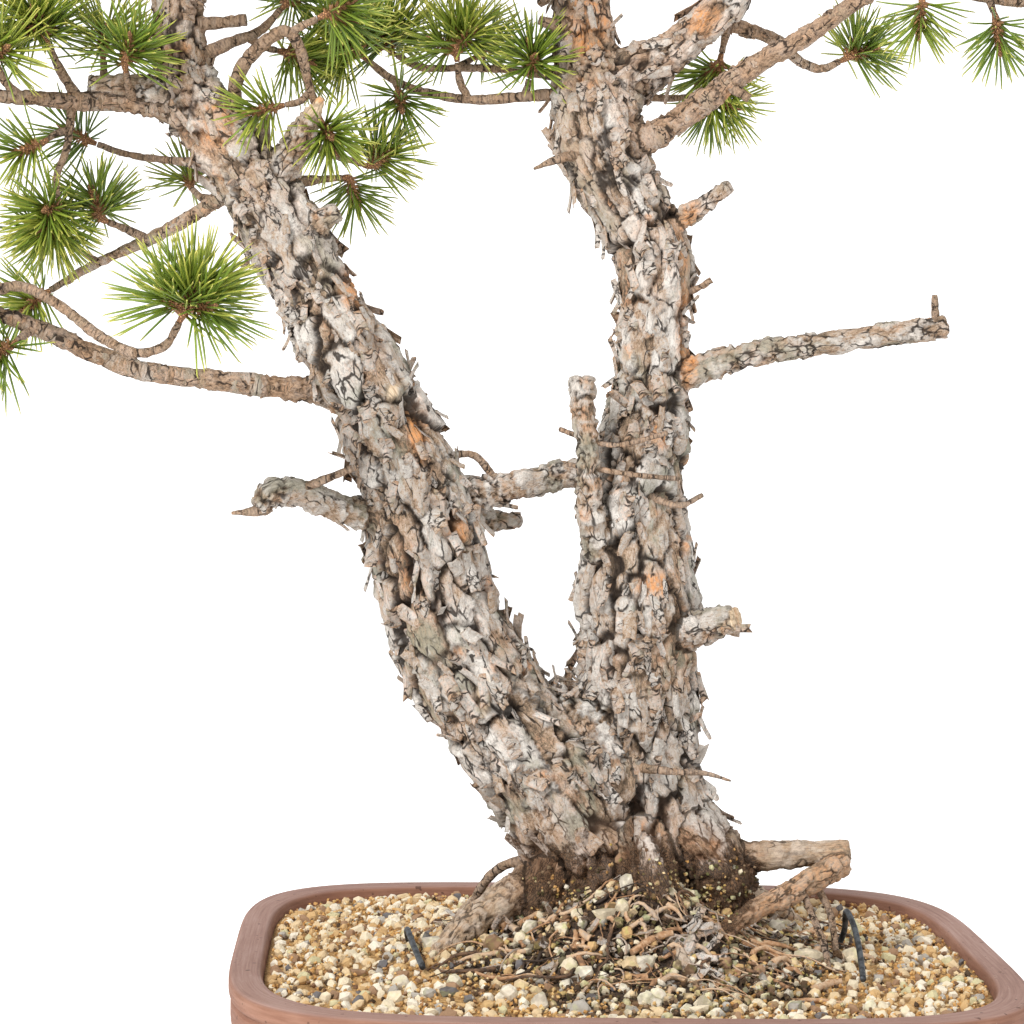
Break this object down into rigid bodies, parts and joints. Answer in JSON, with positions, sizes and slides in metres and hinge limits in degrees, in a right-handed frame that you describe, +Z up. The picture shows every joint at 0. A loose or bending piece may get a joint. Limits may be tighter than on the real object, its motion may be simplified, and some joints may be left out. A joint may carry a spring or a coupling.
{
  "type": "scots pine bonsai",
  "caption": "Twin-trunk Scots pine bonsai with flaky plated bark, bare stubs and short needle sprays, growing in gravelly soil in a low rounded-square stoneware pot.",
  "frame": {"origin": "on the ground under the middle of the whole plant's bounding box", "axes": "+Z up the tree, -Y towards the front that is seen in the picture, +X to the viewer's right"},
  "size_m": [0.6282, 0.354, 0.7635],
  "materials": {
    "stoneware": "matte unglazed",
    "soil": "loose grit",
    "bark": "flaky bark",
    "needles": "satin",
    "wire": "dull grey",
    "screen_net": "matte"
  },
  "bodies": {
    "root": {"pot": "stoneware", "soil": "soil", "wood": "bark", "tie_wire": "wire", "drain_screen_left": "screen_net", "drain_screen_right": "screen_net", "needle_spray_01": "needles", "needle_spray_02": "needles", "needle_spray_03": "needles", "needle_spray_04": "needles", "needle_spray_05": "needles", "needle_spray_06": "needles", "needle_spray_07": "needles", "needle_spray_08": "needles", "needle_spray_09": "needles", "needle_spray_10": "needles", "needle_spray_11": "needles", "needle_spray_12": "needles", "needle_spray_13": "needles", "needle_spray_14": "needles", "needle_spray_15": "needles", "needle_spray_16": "needles", "needle_spray_17": "needles", "needle_spray_18": "needles", "needle_spray_19": "needles", "needle_spray_20": "needles", "needle_spray_21": "needles", "needle_spray_22": "needles", "needle_spray_23": "needles", "needle_spray_24": "needles", "needle_spray_25": "needles", "needle_spray_26": "needles", "needle_spray_27": "needles", "needle_spray_28": "needles", "needle_spray_29": "needles", "needle_spray_30": "needles", "needle_spray_31": "needles", "needle_spray_32": "needles", "needle_spray_33": "needles", "needle_spray_34": "needles", "needle_spray_35": "needles", "needle_spray_36": "needles", "needle_spray_37": "needles", "needle_spray_38": "needles", "needle_spray_39": "needles", "needle_spray_40": "needles", "needle_spray_41": "needles", "needle_spray_42": "needles", "needle_spray_43": "needles", "needle_spray_44": "needles", "needle_spray_45": "needles", "needle_spray_46": "needles", "needle_spray_47": "needles", "needle_spray_48": "needles", "needle_spray_49": "needles"}
  },
  "joints": []
}
